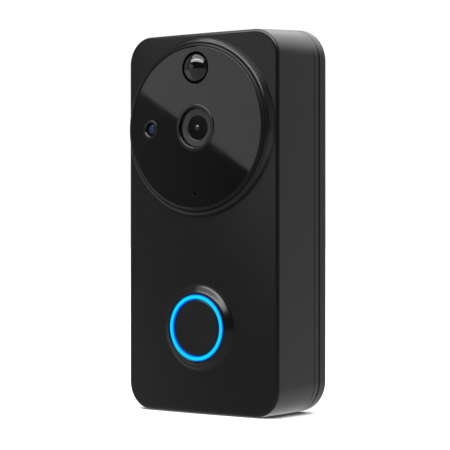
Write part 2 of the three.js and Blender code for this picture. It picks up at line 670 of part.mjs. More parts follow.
// The two cells stand side by side, the second one upside down.
function buildCells(root) {
  [0, Math.PI].forEach((turn, i) => {
    const pair = groupAt(root, 0, CELL_Y, CELLS_Z);
    pair.rotation.y = turn;
    const bay = groupAt(pair, -CELL_X, 0, 0);
    const base = -CELL_BAY + 2.6;
    const cell = joined(
      uprightRod(CELL_RADIUS, base, base + CELL_LENGTH, MEDIUM),
      uprightRod(3, base + CELL_LENGTH - 1, base + CELL_LENGTH + 0.9, COARSE),
    );
    addPart(bay, `cell_${i + 1}`, cell, 'cell');

    const coils = 3;
    const profile = [[0, -CELL_BAY + 0.1], [3.4, -CELL_BAY + 0.1]];
    for (let coil = 0; coil < coils; coil++) {
      const z = -CELL_BAY + 0.1 + (coil + 0.5) * 2.2 / coils;
      profile.push([3.4 - 0.4 * coil, z - 0.15], [2.7 - 0.4 * coil, z + 0.2]);
    }
    profile.push([1.8, base - 0.3], [0, base - 0.3]);
    const points = profile.map(([radius, z]) => new THREE.Vector2(radius, z));
    const spring = new THREE.LatheGeometry(points, COARSE);
    spring.rotateX(Math.PI / 2);
    addPart(bay, `contact_spring_${i + 1}`, solid(spring), 'metal');
    addPart(bay, `contact_plate_${i + 1}`,
      box(-4.2, 4.2, -4.2, 4.2, CELL_BAY - 0.5, CELL_BAY - 0.1), 'brass');
  });

  const plate = cut(
    box(-TRAY.half, TRAY.half, TRAY.front, TRAY.rear, CELLS_Z - 34.5, CELLS_Z + 35.1),
    box(-15, 15, TRAY_CUT_FRONT, TRAY_CUT_REAR, BUTTON_Z - 15, BUTTON_Z + 15),
    box(-13, 13, TRAY_CUT_FRONT, TRAY_CUT_REAR, 4, 10),
    ...SCREWS.map(([x, z]) => rod(2.9, TRAY_CUT_FRONT, TRAY_CUT_REAR, COARSE, x, z)),
  );
  const endWalls = [];
  for (const x of [-18.4, 18.4]) {
    for (const z of [CELLS_Z - CELL_BAY - 1, CELLS_Z + CELL_BAY]) {
      endWalls.push(box(x - 5.4, x + 5.4, TRAY.front + SINK, TRAY.wallRear, z, z + 1));
    }
  }
  addPart(root, 'cell_tray', joined(plate, ...endWalls), 'inner');
}

// ---------- assembly ----------

function buildDoorbell() {
  const root = new THREE.Group();
  buildBracket(root);
  buildFrontHousing(root);
  buildRearCover(root);
  buildRearControls(root);
  const optics = groupAt(root, 0, 0, OPTICS_Z);
  buildPanel(optics);
  buildSensors(optics);
  buildMotionSensor(optics);
  buildLightSensor(optics);
  buildCamera(optics);
  buildButton(root);
  buildMainBoard(root);
  buildSpeaker(root);
  buildCells(root);
  return root;
}

export default buildDoorbell();
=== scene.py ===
"""Video doorbell on its wall bracket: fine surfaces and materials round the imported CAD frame."""

import json
import math

import bmesh
import bpy
from mathutils import Matrix, Vector
from mathutils.geometry import delaunay_2d_cdt


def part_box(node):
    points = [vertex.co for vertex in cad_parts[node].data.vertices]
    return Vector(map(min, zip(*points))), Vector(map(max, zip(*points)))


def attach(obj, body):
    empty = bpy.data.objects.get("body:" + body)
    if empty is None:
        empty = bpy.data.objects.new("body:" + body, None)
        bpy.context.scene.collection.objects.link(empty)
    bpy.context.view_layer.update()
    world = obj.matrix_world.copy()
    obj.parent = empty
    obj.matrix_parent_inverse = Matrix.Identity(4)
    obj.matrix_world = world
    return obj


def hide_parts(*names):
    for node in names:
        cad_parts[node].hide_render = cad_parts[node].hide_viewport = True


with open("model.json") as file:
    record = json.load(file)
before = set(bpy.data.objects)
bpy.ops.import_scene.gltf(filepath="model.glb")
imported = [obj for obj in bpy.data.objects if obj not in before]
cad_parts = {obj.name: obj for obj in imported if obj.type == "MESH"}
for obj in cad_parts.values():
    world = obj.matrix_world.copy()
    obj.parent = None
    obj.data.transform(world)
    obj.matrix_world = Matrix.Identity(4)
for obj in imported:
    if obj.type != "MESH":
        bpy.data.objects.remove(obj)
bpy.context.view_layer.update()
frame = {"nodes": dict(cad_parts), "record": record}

# ---------- driving dimensions, in millimetres ----------

MM = 0.001


def box_mm(node):
    """A CAD node's lowest and highest corner, in millimetres."""
    low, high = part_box(node)
    return low / MM, high / MM


def centre_of(node):
    low, high = box_mm(node)
    return (low + high) / 2


DEPTH = 30.0
FRONT_HALF_WIDTH = 33.85
BASE = box_mm("front_housing")[0].z
FRONT_TOP = 68.04
FLARE = 1.96
FRONT_CORNER = 9.95
CROWN = 1.2
FRONT_EDGE = 1.2
WALL = 2.0
CHAMFER = 0.2
PARTING = box_mm("front_housing")[1].y
COVER_REAR = -5.1
BRACKET_FRONT = -4.7
BRACKET_EDGE = 1.67
BRACKET_PLATE = 2.2
INNER_FACE = -27.6
SOFT_EDGE = 0.7
# How far in the eased chamfers are half way along: shares of the chamfer, and of half of it.
FRONT_EASE = 0.35
REAR_EASE = 0.6

OPTICS_Z = centre_of("lens_panel").z
PANEL_RADIUS = box_mm("lens_panel")[1].x
PANEL_FRONT = box_mm("lens_panel")[0].y
PANEL_REAR = box_mm("lens_panel")[1].y
BEZEL_RADIUS = box_mm("bezel_ring")[1].x
PIR_Z = centre_of("pir_lens").z
PIR_RADIUS = box_mm("pir_lens")[1].x
PIR_SPHERE = 5.85
EYE_X = centre_of("light_sensor").x
EYE_RADIUS = 1.9
COLLAR_RADIUS = 3.3
CAMERA_RADIUS = 7.2
TRIM_RADIUS = box_mm("camera_trim_ring")[1].x
PUPIL_RADIUS = box_mm("front_lens_element")[1].x
MIC_Z = centre_of("microphone").z
MIC_HOLE_RADIUS = 0.7
COLLAR_FOOT = 32.6
COLLAR_CREST = 30.85
COLLAR_TOP = -31.85
COLLAR_LEAN = 0.62
PANEL_SHELF = -29.0
PANEL_GAP = 0.1
LIP_RADIUS = 28.0
BEZEL_INNER = 28.4
BEZEL_SIDE = -31.75
BEZEL_CREST = (30.1, -32.35)
BEZEL_FALL = 29.75
PANEL_EDGE = 0.22
TRIM_WIDTH = 0.3
TRIM_REAR = -30.3
BAFFLE_RADIUS = CAMERA_RADIUS - 0.1
BAFFLE_REAR = -30.8
BAFFLE_RIM = -31.5
BAFFLE_FOOT = -31.05
PIR_SKIN = 0.8
PIR_REAR = -29.4
PIR_BORE = 4.6
EYE_REAR = -27.4
EYE_COLLAR_REAR = -30.2
WINDOW_FRONT = -32.5
WINDOW_REAR = -31.95
LENS_RADIUS = 1.2
LENS_SPHERE = 1.22
LENS_APEX = -32.0
LENS_REAR = -30.85
MOUNT_FACE = -31.05
MOUNT_RIDGE = -31.15
MOUNT_LIP = -31.3

BUTTON_Z = centre_of("button_cap").z
CAP_RADIUS = 10.2
RING_INNER = 10.4
RING_OUTER = 12.0
RING_FLANGE = RING_OUTER + 1.15
RING_GAP = 0.12
RING_BORE = 13.3
RING_SHELF = -29.6
RING_EDGE = -31.95
RING_ROUNDING = 0.2
RING_SHOULDER = RING_SHELF + 0.8
CAP_EDGE = 0.45
CAP_SHOULDER = -31.55
CAP_HEM = -29.4
CAP_FLANGE = 11.1
CAP_FLANGE_REAR = -28.6
CAP_HOLLOW = 8.7
CAP_ROOF = -30.6
CAP_POST = 2.0
CAP_POST_END = -30.3
# The cap's front is dished a little, from its middle outwards.
CAP_DISH = [(0, -31.9), (3, -31.91), (6, -31.94), (CAP_RADIUS - 1.2, -31.99)]
SURROUND_FOOT = 16.1
SURROUND_CREST = 12.7
SURROUND_FRONT = -32.2
SURROUND_LEAN = 1.3

# Slots of the speaker, in the base.
SLOT_COUNT = 5
SLOT_PITCH = 3.2
SLOT_HALF = 0.8
SLOT_FRONT = -23.0
SLOT_REAR = -15.0

# Hooks along the bracket's top edge, and their pockets in the rear cover.
HOOK_NEAR = 14.0
HOOK_FAR = 22.0
HOOK_BOTTOM = 59.4
HOOK_STEM = 60.8
HOOK_TIP = 62.0
HOOK_FRONT = -7.4
HOOK_STEP = -6.5
HOOK_ROOT = -2.0
HOOK_ROUNDING = 0.5
HOOK_CLEARANCE = 0.2
HOOK_POCKET_HEIGHTS = (58.2, 62.6)
POCKET_SKIN = 0.4

# Rectangles are (lowest x, highest x, lowest z, highest z).
LATCH_POCKET = (-5.8, 5.8, -64.2, -60.2)
BRACKET_WINDOW = (-15, 15, 8, 34)
WINDOW_CORNER = 2
# The bracket's screw slots are (z, half width, half height), each with a wider seat for the screw's head.
WALL_SLOTS = [(50, 2.3, 6.3), (-46, 6.3, 2.3)]
WALL_SEAT = 1.9
WALL_SEAT_REAR = -1.4
GROOVES_Z = (44.5, 2.0, -8.0, -18.0, -28.0, -38.0)
GROOVE_HALF = 0.5
GROOVE_LENGTH = 20.0
GROOVE_DEPTH = 0.35

SCREWS = [centre_of(f"housing_screw_{i}") for i in range(1, 5)]
SCREW_TIP = -16.0
SCREW_SHANK = 1.1
SCREW_HEAD = 2.4
SCREW_ROUNDING = 0.55
SCREW_HEIGHT = 1.2
SCREW_RECESS = 0.6
SCREW_SEAT = COVER_REAR - 1.3
SCREW_CROSS = 1.4
SCREW_BLADE = 0.28
SCREW_WELL = SCREW_HEAD + 0.3
SCREW_MOUTH = SCREW_HEAD + 0.6
SCREW_MOUTH_DEPTH = 0.25

PORT = centre_of("port_cover")
PORT_HALF_WIDTH = 6.2
PORT_BELOW = 4.3
PORT_ABOVE = 4.2
PORT_CORNER = 1.2
PORT_RECESS = 1.5
PORT_BEVEL = 0.18
LATCH_BEVEL = 0.12
RESET = centre_of("reset_button")
RESET_HOLE = 2.2
RESET_FLANGE = 2.7
RESET_FLANGE_FRONT = -8.6
RESET_FLANGE_REAR = -7.9
RESET_STEM = 2.0
RESET_ROUNDING = 0.35
RESET_SHOULDER = -5.75
RESET_DISH = ((1.2, -5.42), (0.6, -5.55), (0, -5.6))

# Cutting tools reach this far past the face that they open.
OVERCUT = 1.0

# How finely the curves and faces are divided.
ARC_STEPS = 16
EDGE_STEPS = 8
ROUND = 128
STEPS_ACROSS = 24
STEPS_ALONG = 44
FACE_SPACING = 2.4
INNER_SPACING = 6.0
NET_MARGIN = 0.55
# A triangle whose middle is within this share of a hole's radius is part of the hole.
HOLE_SHARE = 0.9998
CDT_GAP = 1e-6
ON_AXIS = 1e-6
# Edges sharper than this, in degrees, stay crisp.
HOUSING_CREASE = 24
PANEL_CREASE = 40
DOME_CREASE = 50
BEVEL_CREASE = 35
BEVEL_ANGLE = 40
BEVEL_SEGMENTS = 3

# ---------- meshes ----------


def new_object(name, points, faces, body, slot_name, replaced=(), look=None):
    """A piece from points in millimetres, riding on a CAD body. It looks like its slot, unless told."""
    mesh = bpy.data.meshes.new(name)
    mesh.from_pydata([Vector(p) * MM for p in points], [], faces)
    obj = bpy.data.objects.new(name, mesh)
    bpy.context.scene.collection.objects.link(obj)
    mesh.materials.append(MATERIALS[look or slot_name].material)
    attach(obj, body)
    if replaced:
        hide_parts(*replaced)
    return obj


def tidy_mesh(obj, merge=0.002):
    """Merges doubled points and turns every face outwards."""
    work = bmesh.new()
    work.from_mesh(obj.data)
    bmesh.ops.remove_doubles(work, verts=work.verts, dist=merge * MM)
    bmesh.ops.dissolve_degenerate(work, edges=work.edges, dist=merge * MM / 4)
    bmesh.ops.recalc_face_normals(work, faces=work.faces)
    work.to_mesh(obj.data)
    work.free()


def shade(obj, angle=30):
    """Smooth shading, with edges sharper than the angle kept crisp."""
    work = bmesh.new()
    work.from_mesh(obj.data)
    for face in work.faces:
        face.smooth = True
    for edge in work.edges:
        if len(edge.link_faces) == 2:
            edge.smooth = edge.calc_face_angle(0) < math.radians(angle)
    work.to_mesh(obj.data)
    work.free()


def apply_modifiers(obj):
    """Bakes the object's modifiers into its mesh."""
    graph = bpy.context.evaluated_depsgraph_get()
    made = bpy.data.meshes.new_from_object(obj.evaluated_get(graph))
    obj.modifiers.clear()
    obj.data = made


def weighted_normals(obj):
    modifier = obj.modifiers.new("weighted", "WEIGHTED_NORMAL")
    modifier.keep_sharp = True
    apply_modifiers(obj)


def lathe_mesh(profile, x=0.0, z=0.0, segments=ROUND):
    """Points and faces of a piece turned about the Y axis through (x, z): a profile of (radius, y)."""
    closed = profile[0][0] > 0
    points = []
    rows = []
    for radius, y in profile:
        if radius < ON_AXIS:
            rows.append([len(points)])
            points.append((x, y, z))
            continue
        rows.append(range(len(points), len(points) + segments))
        for i in range(segments):
            angle = 2 * math.pi * i / segments
            points.append((x + radius * math.cos(angle), y, z + radius * math.sin(angle)))
    pairs = list(zip(rows, rows[1:]))
    if closed:
        pairs.append((rows[-1], rows[0]))
    faces = []
    for first, second in pairs:
        for i in range(segments):
            j = (i + 1) % segments
            if len(first) == 1:
                faces.append((first[0], second[i], second[j]))
            elif len(second) == 1:
                faces.append((first[i], second[0], first[j]))
            else:
                faces.append((first[i], second[i], second[j], first[j]))
    return points, faces


def turned(name, profile, body, slot_name, replaced=(), x=0.0, z=0.0, angle=30, look=None):
    """A piece turned about the Y axis through (x, z), shaded smooth up to the angle."""
    points, faces = lathe_mesh(profile, x, z)
    obj = new_object(name, points, faces, body, slot_name, replaced, look)
    tidy_mesh(obj)
    shade(obj, angle)
    return obj


def arc(centre, radius, start, end, steps=6):
    """Profile points on an arc, angles in degrees from the radius axis towards +Y."""
    points = []
    for i in range(steps + 1):
        angle = math.radians(start + (end - start) * i / steps)
        points.append((centre[0] + radius * math.cos(angle), centre[1] + radius * math.sin(angle)))
    return points


def bend(start, corner, end, steps=6):
    """A soft corner: a quadratic curve from start to end, pulled towards the corner."""
    points = []
    for i in range(steps + 1):
        t = i / steps
        weights = ((1 - t) ** 2, 2 * t * (1 - t), t ** 2)
        points.append(tuple(
            sum(w * p[k] for w, p in zip(weights, (start, corner, end))) for k in range(len(start))
        ))
    return points


def dome(radius, apex, rim, steps=20):
    """The profile of an elliptical dome, from its apex on the axis to its rim."""
    points = []
    for i in range(steps + 1):
        angle = (i / steps) * math.pi / 2
        points.append((radius * math.sin(angle), rim + (apex - rim) * math.cos(angle)))
    return points


def sphere_cap(radius, sphere, apex, steps=20):
    """The profile of part of a sphere, from its apex on the axis out to the radius."""
    reach = math.asin(radius / sphere)
    points = []
    for i in range(steps + 1):
        angle = reach * i / steps
        points.append((sphere * math.sin(angle), apex + sphere * (1 - math.cos(angle))))
    return points


# ---------- the body's outline ----------


def outline(y, inset):
    """The body's outline at depth y, moved in by inset, as (x, z) points."""
    flare = FLARE * (y + DEPTH) / DEPTH
    half = FRONT_HALF_WIDTH + flare - inset
    top = FRONT_TOP + flare - inset
    base = BASE + inset
    radius = FRONT_CORNER + flare - inset
    corners = [
        (half - radius, top - radius, 0, STEPS_ACROSS),
        (radius - half, top - radius, 90, STEPS_ALONG),
        (radius - half, base + radius, 180, STEPS_ACROSS),
        (half - radius, base + radius, 270, STEPS_ALONG),
    ]
    points = []
    for index, (x, z, start, straight) in enumerate(corners):
        for i in range(ARC_STEPS + 1):
            angle = math.radians(start + 90 * i / ARC_STEPS)
            points.append((x + radius * math.cos(angle), z + radius * math.sin(angle)))
        next_x, next_z, next_start, _ = corners[(index + 1) % 4]
        following = math.radians(next_start)
        end = (next_x + radius * math.cos(following), next_z + radius * math.sin(following))
        begin = points[-1]
        for i in range(1, straight):
            share = i / straight
            points.append(tuple(b + (e - b) * share for b, e in zip(begin, end)))
    return points


def crowned(x, y):
    """Depth y bent back at the body's sides, most at the front and not at all at the parting line."""
    share = min(max((PARTING - y) / (PARTING + DEPTH), 0), 1)
    return y + CROWN * share * (x / FRONT_HALF_WIDTH) ** 2


def face_y(x):
    return crowned(x, -DEPTH)


def circle(x, z, radius, steps=48):
    return [
        (x + radius * math.cos(2 * math.pi * i / steps), z + radius * math.sin(2 * math.pi * i / steps))
        for i in range(steps)
    ]


def rim_and_holes(rim, holes):
    """Points and edges of a rim, a list of (x, z), and of circular holes (x, z, radius) in it."""
    coordinates = [Vector(p) for p in rim]
    edges = [(i, (i + 1) % len(rim)) for i in range(len(rim))]
    for x, z, radius in holes:
        start = len(coordinates)
        coordinates.extend(Vector(p) for p in circle(x, z, radius, ROUND))
        edges.extend((start + i, start + (i + 1) % ROUND) for i in range(ROUND))
    return coordinates, edges


def in_a_hole(x, z, holes, share, margin=0.0):
    """Whether (x, z) is nearer to a hole's centre than this share of its radius, plus a margin."""
    return any(math.hypot(x - hx, z - hz) < radius * share + margin for hx, hz, radius in holes)


class Builder:
    """Collects rings, strips and patches of one mesh; doubled points are merged at the end."""

    def __init__(self):
        self.points = []
        self.faces = []

    def ring(self, points):
        start = len(self.points)
        self.points.extend(points)
        return range(start, start + len(points))

    def strip(self, first, second):
        count = len(first)
        for i in range(count):
            j = (i + 1) % count
            self.faces.append((first[i], first[j], second[j], second[i]))

    def loft(self, sections, crown=False):
        rings = []
        for y, inset in sections:
            rings.append(self.ring([
                (x, crowned(x, y) if crown else y, z) for x, z in outline(y, inset)
            ]))
        for first, second in zip(rings, rings[1:]):
            self.strip(first, second)
        return rings

    def cap(self, ring):
        self.faces.append(tuple(ring))

    def fill(self, coordinates, edges, holes, depth):
        """Triangles between the edges, set at depth(x), with the circular holes left open."""
        placed, _, triangles, *_ = delaunay_2d_cdt(coordinates, edges, [], 0, CDT_GAP)
        start = len(self.points)
        self.points.extend((p.x, depth(p.x), p.y) for p in placed)
        for triangle in triangles:
            middle = sum((placed[i] for i in triangle), Vector((0, 0))) / 3
            if not in_a_hole(middle.x, middle.y, holes, HOLE_SHARE):
                self.faces.append(tuple(start + i for i in triangle))

    def patch(self, rim, holes, depth, spacing):
        """Fills the rim, a list of (x, z), round circular holes (x, z, radius), with a fine net."""
        coordinates, edges = rim_and_holes(rim, holes)
        low_x, high_x = min(p[0] for p in rim), max(p[0] for p in rim)
        low_z, high_z = min(p[1] for p in rim), max(p[1] for p in rim)
        corner = FRONT_CORNER - FRONT_EDGE
        margin = spacing * NET_MARGIN
        columns = int((high_x - low_x) / spacing)
        rows = int((high_z - low_z) / spacing)
        for i in range(1, columns):
            for j in range(1, rows):
                x = low_x + (high_x - low_x) * i / columns
                z = low_z + (high_z - low_z) * j / rows
                dx = max(low_x + corner - x, x - high_x + corner, 0)
                dz = max(low_z + corner - z, z - high_z + corner, 0)
                if math.hypot(dx, dz) <= corner - margin and not in_a_hole(x, z, holes, 1, margin):
                    coordinates.append(Vector((x, z)))
        self.fill(coordinates, edges, holes, depth)

    def flat_patch(self, rim, holes, y):
        """Fills the rim round circular holes with as few triangles as it takes."""
        self.fill(*rim_and_holes(rim, holes), holes, lambda x: y)

    def swept_ring(self, x, z, profile):
        """A ring round (x, z). profile(x, cosine) gives its (radius, y) points in each direction."""
        rows = None
        for i in range(ROUND):
            angle = 2 * math.pi * i / ROUND
            column = profile(x, math.cos(angle))
            if rows is None:
                rows = [[] for _ in column]
            for row, (radius, y) in zip(rows, column):
                row.append((x + radius * math.cos(angle), y, z + radius * math.sin(angle)))
        rings = [self.ring(row) for row in rows]
        for first, second in zip(rings, rings[1:]):
            self.strip(first, second)


def boolean(obj, cutters, operation="DIFFERENCE"):
    """Cuts or joins helper meshes, given as (points, faces) in millimetres."""
    for points, faces in cutters:
        mesh = bpy.data.meshes.new("cutter")
        mesh.from_pydata([Vector(p) * MM for p in points], [], faces)
        helper = bpy.data.objects.new("cutter", mesh)
        bpy.context.scene.collection.objects.link(helper)
        tidy_mesh(helper)
        modifier = obj.modifiers.new("cut", "BOOLEAN")
        modifier.operation = operation
        modifier.solver = "EXACT"
        modifier.object = helper
        apply_modifiers(obj)
        bpy.data.objects.remove(helper)


def prism(section, low, high, axis="y"):
    """A closed prism of a 2-D section. Along y the section is (x, z), along z it is (x, y)."""
    count = len(section)
    points = []
    for depth in (low, high):
        for a, b in section:
            points.append((a, depth, b) if axis == "y" else (a, b, depth))
    faces = [tuple(range(count)), tuple(range(2 * count - 1, count - 1, -1))]
    for i in range(count):
        j = (i + 1) % count
        faces.append((i, j, count + j, count + i))
    return points, faces


def rounded_rectangle(x0, x1, z0, z1, radius, steps=6):
    points = []
    corners = [(x1, z1, 0), (x0, z1, 90), (x0, z0, 180), (x1, z0, 270)]
    for x, z, start in corners:
        cx = x - math.copysign(radius, x - (x0 + x1) / 2)
        cz = z - math.copysign(radius, z - (z0 + z1) / 2)
        for i in range(steps + 1):
            angle = math.radians(start + 90 * i / steps)
            points.append((cx + radius * math.cos(angle), cz + radius * math.sin(angle)))
    return points


# ---------- materials ----------


# How coarse the surface's unevenness is, and how deep its relief, in millimetres.
MOTTLE_CELL = 9
GLOSS_CELL = 6
POLISH_MOTTLE_CELL = 14
HAZE_CELL = 5
WAVE_CELL = 7
WAVE_RELIEF = 0.0006
METAL_MOTTLE_CELL = 4
STREAK_CELL = 0.3
STREAK_STRETCH = 0.08
STREAK_RELIEF = 0.004
TRACE_PITCH = 6
TRACE_RELIEF = 0.02
# Where the painted shade at the baffle's outer edge begins, and how wide its fade is, in millimetres.
BAFFLE_SHADE_EDGE = CAMERA_RADIUS - 0.62
BAFFLE_SHADE_FADE = 0.12
# How far the gloss varies, as shares of the roughness.
MOULDED_GLOSS = (0.93, 1.07)
POLISHED_HAZE = (0.7, 1.5)
METAL_GLOSS = (0.75, 1.3)
SOLDER_MASK = ((0.006, 0.055, 0.024, 1), (0.008, 0.07, 0.03, 1))
TRACE_COLOUR = (0.02, 0.13, 0.06, 1)
GLOW_EDGE = (0.0, 0.05, 1.0)
GLOW_MIDDLE = (0.0, 0.70, 1.0)
GLOW_STRENGTH = 0.93


class Nodes:
    """A Principled material with object-space textures."""

    def __init__(self, name):
        self.material = bpy.data.materials.new(name)
        self.material.use_nodes = True
        self.tree = self.material.node_tree
        self.shader = self.tree.nodes["Principled BSDF"]
        self.place = self.add("ShaderNodeTexCoord").outputs["Object"]

    def add(self, kind, **settings):
        node = self.tree.nodes.new(kind)
        for key, value in settings.items():
            setattr(node, key, value)
        return node

    def link(self, source, target):
        self.tree.links.new(source, target)

    def set(self, **values):
        for key, value in values.items():
            self.shader.inputs[key.replace("_", " ")].default_value = value

    def noise(self, cell, detail=4.0):
        """A noise value whose features are about cell millimetres across."""
        node = self.add("ShaderNodeTexNoise")
        node.inputs["Scale"].default_value = 1 / (cell * MM)
        node.inputs["Detail"].default_value = detail
        self.link(self.place, node.inputs["Vector"])
        return node.outputs["Fac"]

    def ranged(self, value, low, high, at=(0.3, 0.7)):
        """Maps the values between at[0] and at[1] to low..high."""
        node = self.add("ShaderNodeMapRange")
        node.inputs["From Min"].default_value, node.inputs["From Max"].default_value = at
        node.inputs["To Min"].default_value, node.inputs["To Max"].default_value = low, high
        self.link(value, node.inputs["Value"])
        return node.outputs["Result"]

    def ramp(self, value, stops):
        node = self.add("ShaderNodeValToRGB")
        elements = node.color_ramp.elements
        while len(elements) < len(stops):
            elements.new(0.5)
        for element, (position, colour) in zip(elements, stops):
            element.position = position
            element.color = (*colour, 1)
        self.link(value, node.inputs["Fac"])
        return node.outputs["Color"]

    def bump(self, height, depth):
        """Surface relief: depth is in millimetres."""
        node = self.add("ShaderNodeBump")
        node.inputs["Strength"].default_value = 1.0
        node.inputs["Distance"].default_value = depth * MM
        self.link(height, node.inputs["Height"])
        self.link(node.outputs["Normal"], self.shader.inputs["Normal"])

    def mottled(self, colour, spread, cell):
        """A base colour that varies slightly over the surface."""
        low = tuple(c * (1 - spread) for c in colour)
        high = tuple(c * (1 + spread) for c in colour)
        colours = self.ramp(self.noise(cell), [(0.3, low), (0.7, high)])
        self.link(colours, self.shader.inputs["Base Color"])


def moulded(name, colour, roughness, grain=0.25, relief=0.004, spread=0.12, specular=0.5):
    """Moulded plastic or rubber: fine spark texture, slight colour and gloss variation."""
    made = Nodes(name)
    made.set(Specular_IOR_Level=specular)
    made.mottled(colour, spread, MOTTLE_CELL)
    gloss = made.ranged(made.noise(GLOSS_CELL), *(roughness * share for share in MOULDED_GLOSS))
    made.link(gloss, made.shader.inputs["Roughness"])
    made.bump(made.noise(grain, 6), relief)
    return made


def polished(name, colour, roughness, specular=0.5):
    """Polished plastic or glass: faint waviness and a trace of handling haze."""
    made = Nodes(name)
    made.set(Specular_IOR_Level=specular)
    made.mottled(colour, 0.15, POLISH_MOTTLE_CELL)
    haze = made.ranged(made.noise(HAZE_CELL, 6), *(roughness * share for share in POLISHED_HAZE))
    made.link(haze, made.shader.inputs["Roughness"])
    made.bump(made.noise(WAVE_CELL, 1), WAVE_RELIEF)
    return made


def metallic(name, colour, roughness):
    """Plated or rolled metal with fine streaks along Z."""
    made = Nodes(name)
    made.set(Metallic=1.0)
    stretch = made.add("ShaderNodeMapping")
    stretch.inputs["Scale"].default_value = (1, 1, STREAK_STRETCH)
    made.link(made.place, stretch.inputs["Vector"])
    streaks = made.add("ShaderNodeTexNoise")
    streaks.inputs["Scale"].default_value = 1 / (STREAK_CELL * MM)
    streaks.inputs["Detail"].default_value = 4
    made.link(stretch.outputs["Vector"], streaks.inputs["Vector"])
    made.mottled(colour, 0.08, METAL_MOTTLE_CELL)
    gloss = made.ranged(streaks.outputs["Fac"], *(roughness * share for share in METAL_GLOSS))
    made.link(gloss, made.shader.inputs["Roughness"])
    made.bump(streaks.outputs["Fac"], STREAK_RELIEF)
    return made


def circuit_board():
    """Solder mask with copper traces showing as a lighter relief."""
    made = Nodes("circuit_board")
    traces = made.add("ShaderNodeTexBrick")
    traces.inputs["Scale"].default_value = 1 / (TRACE_PITCH * MM)
    traces.inputs["Mortar Size"].default_value = 0.035
    traces.inputs["Color1"].default_value, traces.inputs["Color2"].default_value = SOLDER_MASK
    traces.inputs["Mortar"].default_value = TRACE_COLOUR
    turned_place = made.add("ShaderNodeMapping")
    turned_place.inputs["Rotation"].default_value = (math.pi / 2, 0, 0)
    made.link(made.place, turned_place.inputs["Vector"])
    made.link(turned_place.outputs["Vector"], traces.inputs["Vector"])
    made.link(traces.outputs["Color"], made.shader.inputs["Base Color"])
    made.link(made.ranged(made.noise(3), 0.28, 0.42), made.shader.inputs["Roughness"])
    made.bump(traces.outputs["Fac"], TRACE_RELIEF)
    return made


def clear_glass():
    """A thin clear window: mostly see-through, with its own surface reflection."""
    made = polished("clear_glass", (0.02, 0.02, 0.024), 0.02)
    made.set(Alpha=0.04)
    return made


def radius_from(made, x, z):
    """Distance from the Y axis through (x, z), in metres."""
    apart = made.add("ShaderNodeSeparateXYZ")
    made.link(made.place, apart.inputs["Vector"])
    flat = made.add("ShaderNodeCombineXYZ")
    for axis, centre in (("X", x), ("Z", z)):
        shifted = made.add("ShaderNodeMath", operation="SUBTRACT")
        shifted.inputs[1].default_value = centre * MM
        made.link(apart.outputs[axis], shifted.inputs[0])
        made.link(shifted.outputs["Value"], flat.inputs[axis])
    length = made.add("ShaderNodeVectorMath", operation="LENGTH")
    made.link(flat.outputs["Vector"], length.inputs[0])
    return length.outputs["Value"]


def glowing_ring():
    """Diffuser lit from behind: cyan in the middle of its width and deep blue at both edges."""
    made = Nodes("light_ring")
    across = made.ranged(radius_from(made, 0, BUTTON_Z), 0, 1, (RING_INNER * MM, RING_OUTER * MM))
    stops = [(0.0, GLOW_EDGE), (0.3, GLOW_MIDDLE), (0.7, GLOW_MIDDLE), (1.0, GLOW_EDGE)]
    glow = made.ramp(across, stops)
    made.link(glow, made.shader.inputs["Emission Color"])
    made.set(Emission_Strength=GLOW_STRENGTH, Roughness=0.5, Specular_IOR_Level=0.02)
    made.mottled((0.0, 0.06, 0.08), 0.05, 2)
    return made


def baffle():
    """Warm grey satin ring round the lens, with painted shade darkening it to near black at its outer edge.
    """
    made = moulded("baffle", (0.01, 0.01, 0.01), roughness=0.24, grain=0.15, relief=0.002,
                   spread=0.1, specular=0.4)
    # Painted shade: the colour turns from warm grey to near black towards the outer edge, standing in for
    # the shadow in the recess there.
    painted_shade_span = (BAFFLE_SHADE_EDGE * MM, (BAFFLE_SHADE_EDGE + BAFFLE_SHADE_FADE) * MM)
    across = made.ranged(radius_from(made, 0, OPTICS_Z), 0, 1, painted_shade_span)
    colours = made.ramp(across, [(0.0, (0.019, 0.0175, 0.0150)), (1.0, (0.0012, 0.0012, 0.0012))])
    made.link(colours, made.shader.inputs["Base Color"])
    return made


MOULDED = {
    "housing_plastic": dict(
        colour=(0.0018, 0.0018, 0.0017), roughness=0.25, grain=0.22, relief=0.0015, specular=0.32),
    "bezel_plastic": dict(
        colour=(0.002, 0.002, 0.002), roughness=0.4, grain=0.2, relief=0.002, specular=0.16),
    "button_plastic": dict(
        colour=(0.002, 0.0021, 0.0026), roughness=0.26, grain=0.2, relief=0.002, specular=0.36),
    "lens_mount": dict(
        colour=(0.0005, 0.0005, 0.0005), roughness=0.5, grain=0.2, relief=0.003, spread=0.1, specular=0.02),
    "inner_plastic": dict(colour=(0.03, 0.03, 0.032), roughness=0.55),
    "chip": dict(colour=(0.012, 0.012, 0.014), roughness=0.4, grain=0.15),
    "rubber": dict(colour=(0.011, 0.011, 0.011), roughness=0.68, grain=0.3, relief=0.008),
    "cell_sleeve": dict(colour=(0.03, 0.14, 0.36), roughness=0.3, grain=1.5, relief=0.02),
}
POLISHED = {
    "gloss_panel": dict(colour=(0.0012, 0.0012, 0.0013), roughness=0.03),
    "gloss_trim": dict(colour=(0.0012, 0.0012, 0.0012), roughness=0.07),
    "coated_lens": dict(colour=(0.002, 0.002, 0.004), roughness=0.03, specular=0.8),
    "sensor_eye": dict(colour=(0.005, 0.012, 0.03), roughness=0.08, specular=0.25),
    "led": dict(colour=(0.75, 0.78, 0.8), roughness=0.12),
    "flex_film": dict(colour=(0.42, 0.18, 0.03), roughness=0.2),
}
METALLIC = {
    "plated_metal": dict(colour=(0.6, 0.6, 0.6), roughness=0.3),
    "spring_steel": dict(colour=(0.55, 0.55, 0.56), roughness=0.28),
    "screw_steel": dict(colour=(0.42, 0.42, 0.43), roughness=0.32),
    "brass": dict(colour=(0.72, 0.55, 0.28), roughness=0.3),
}
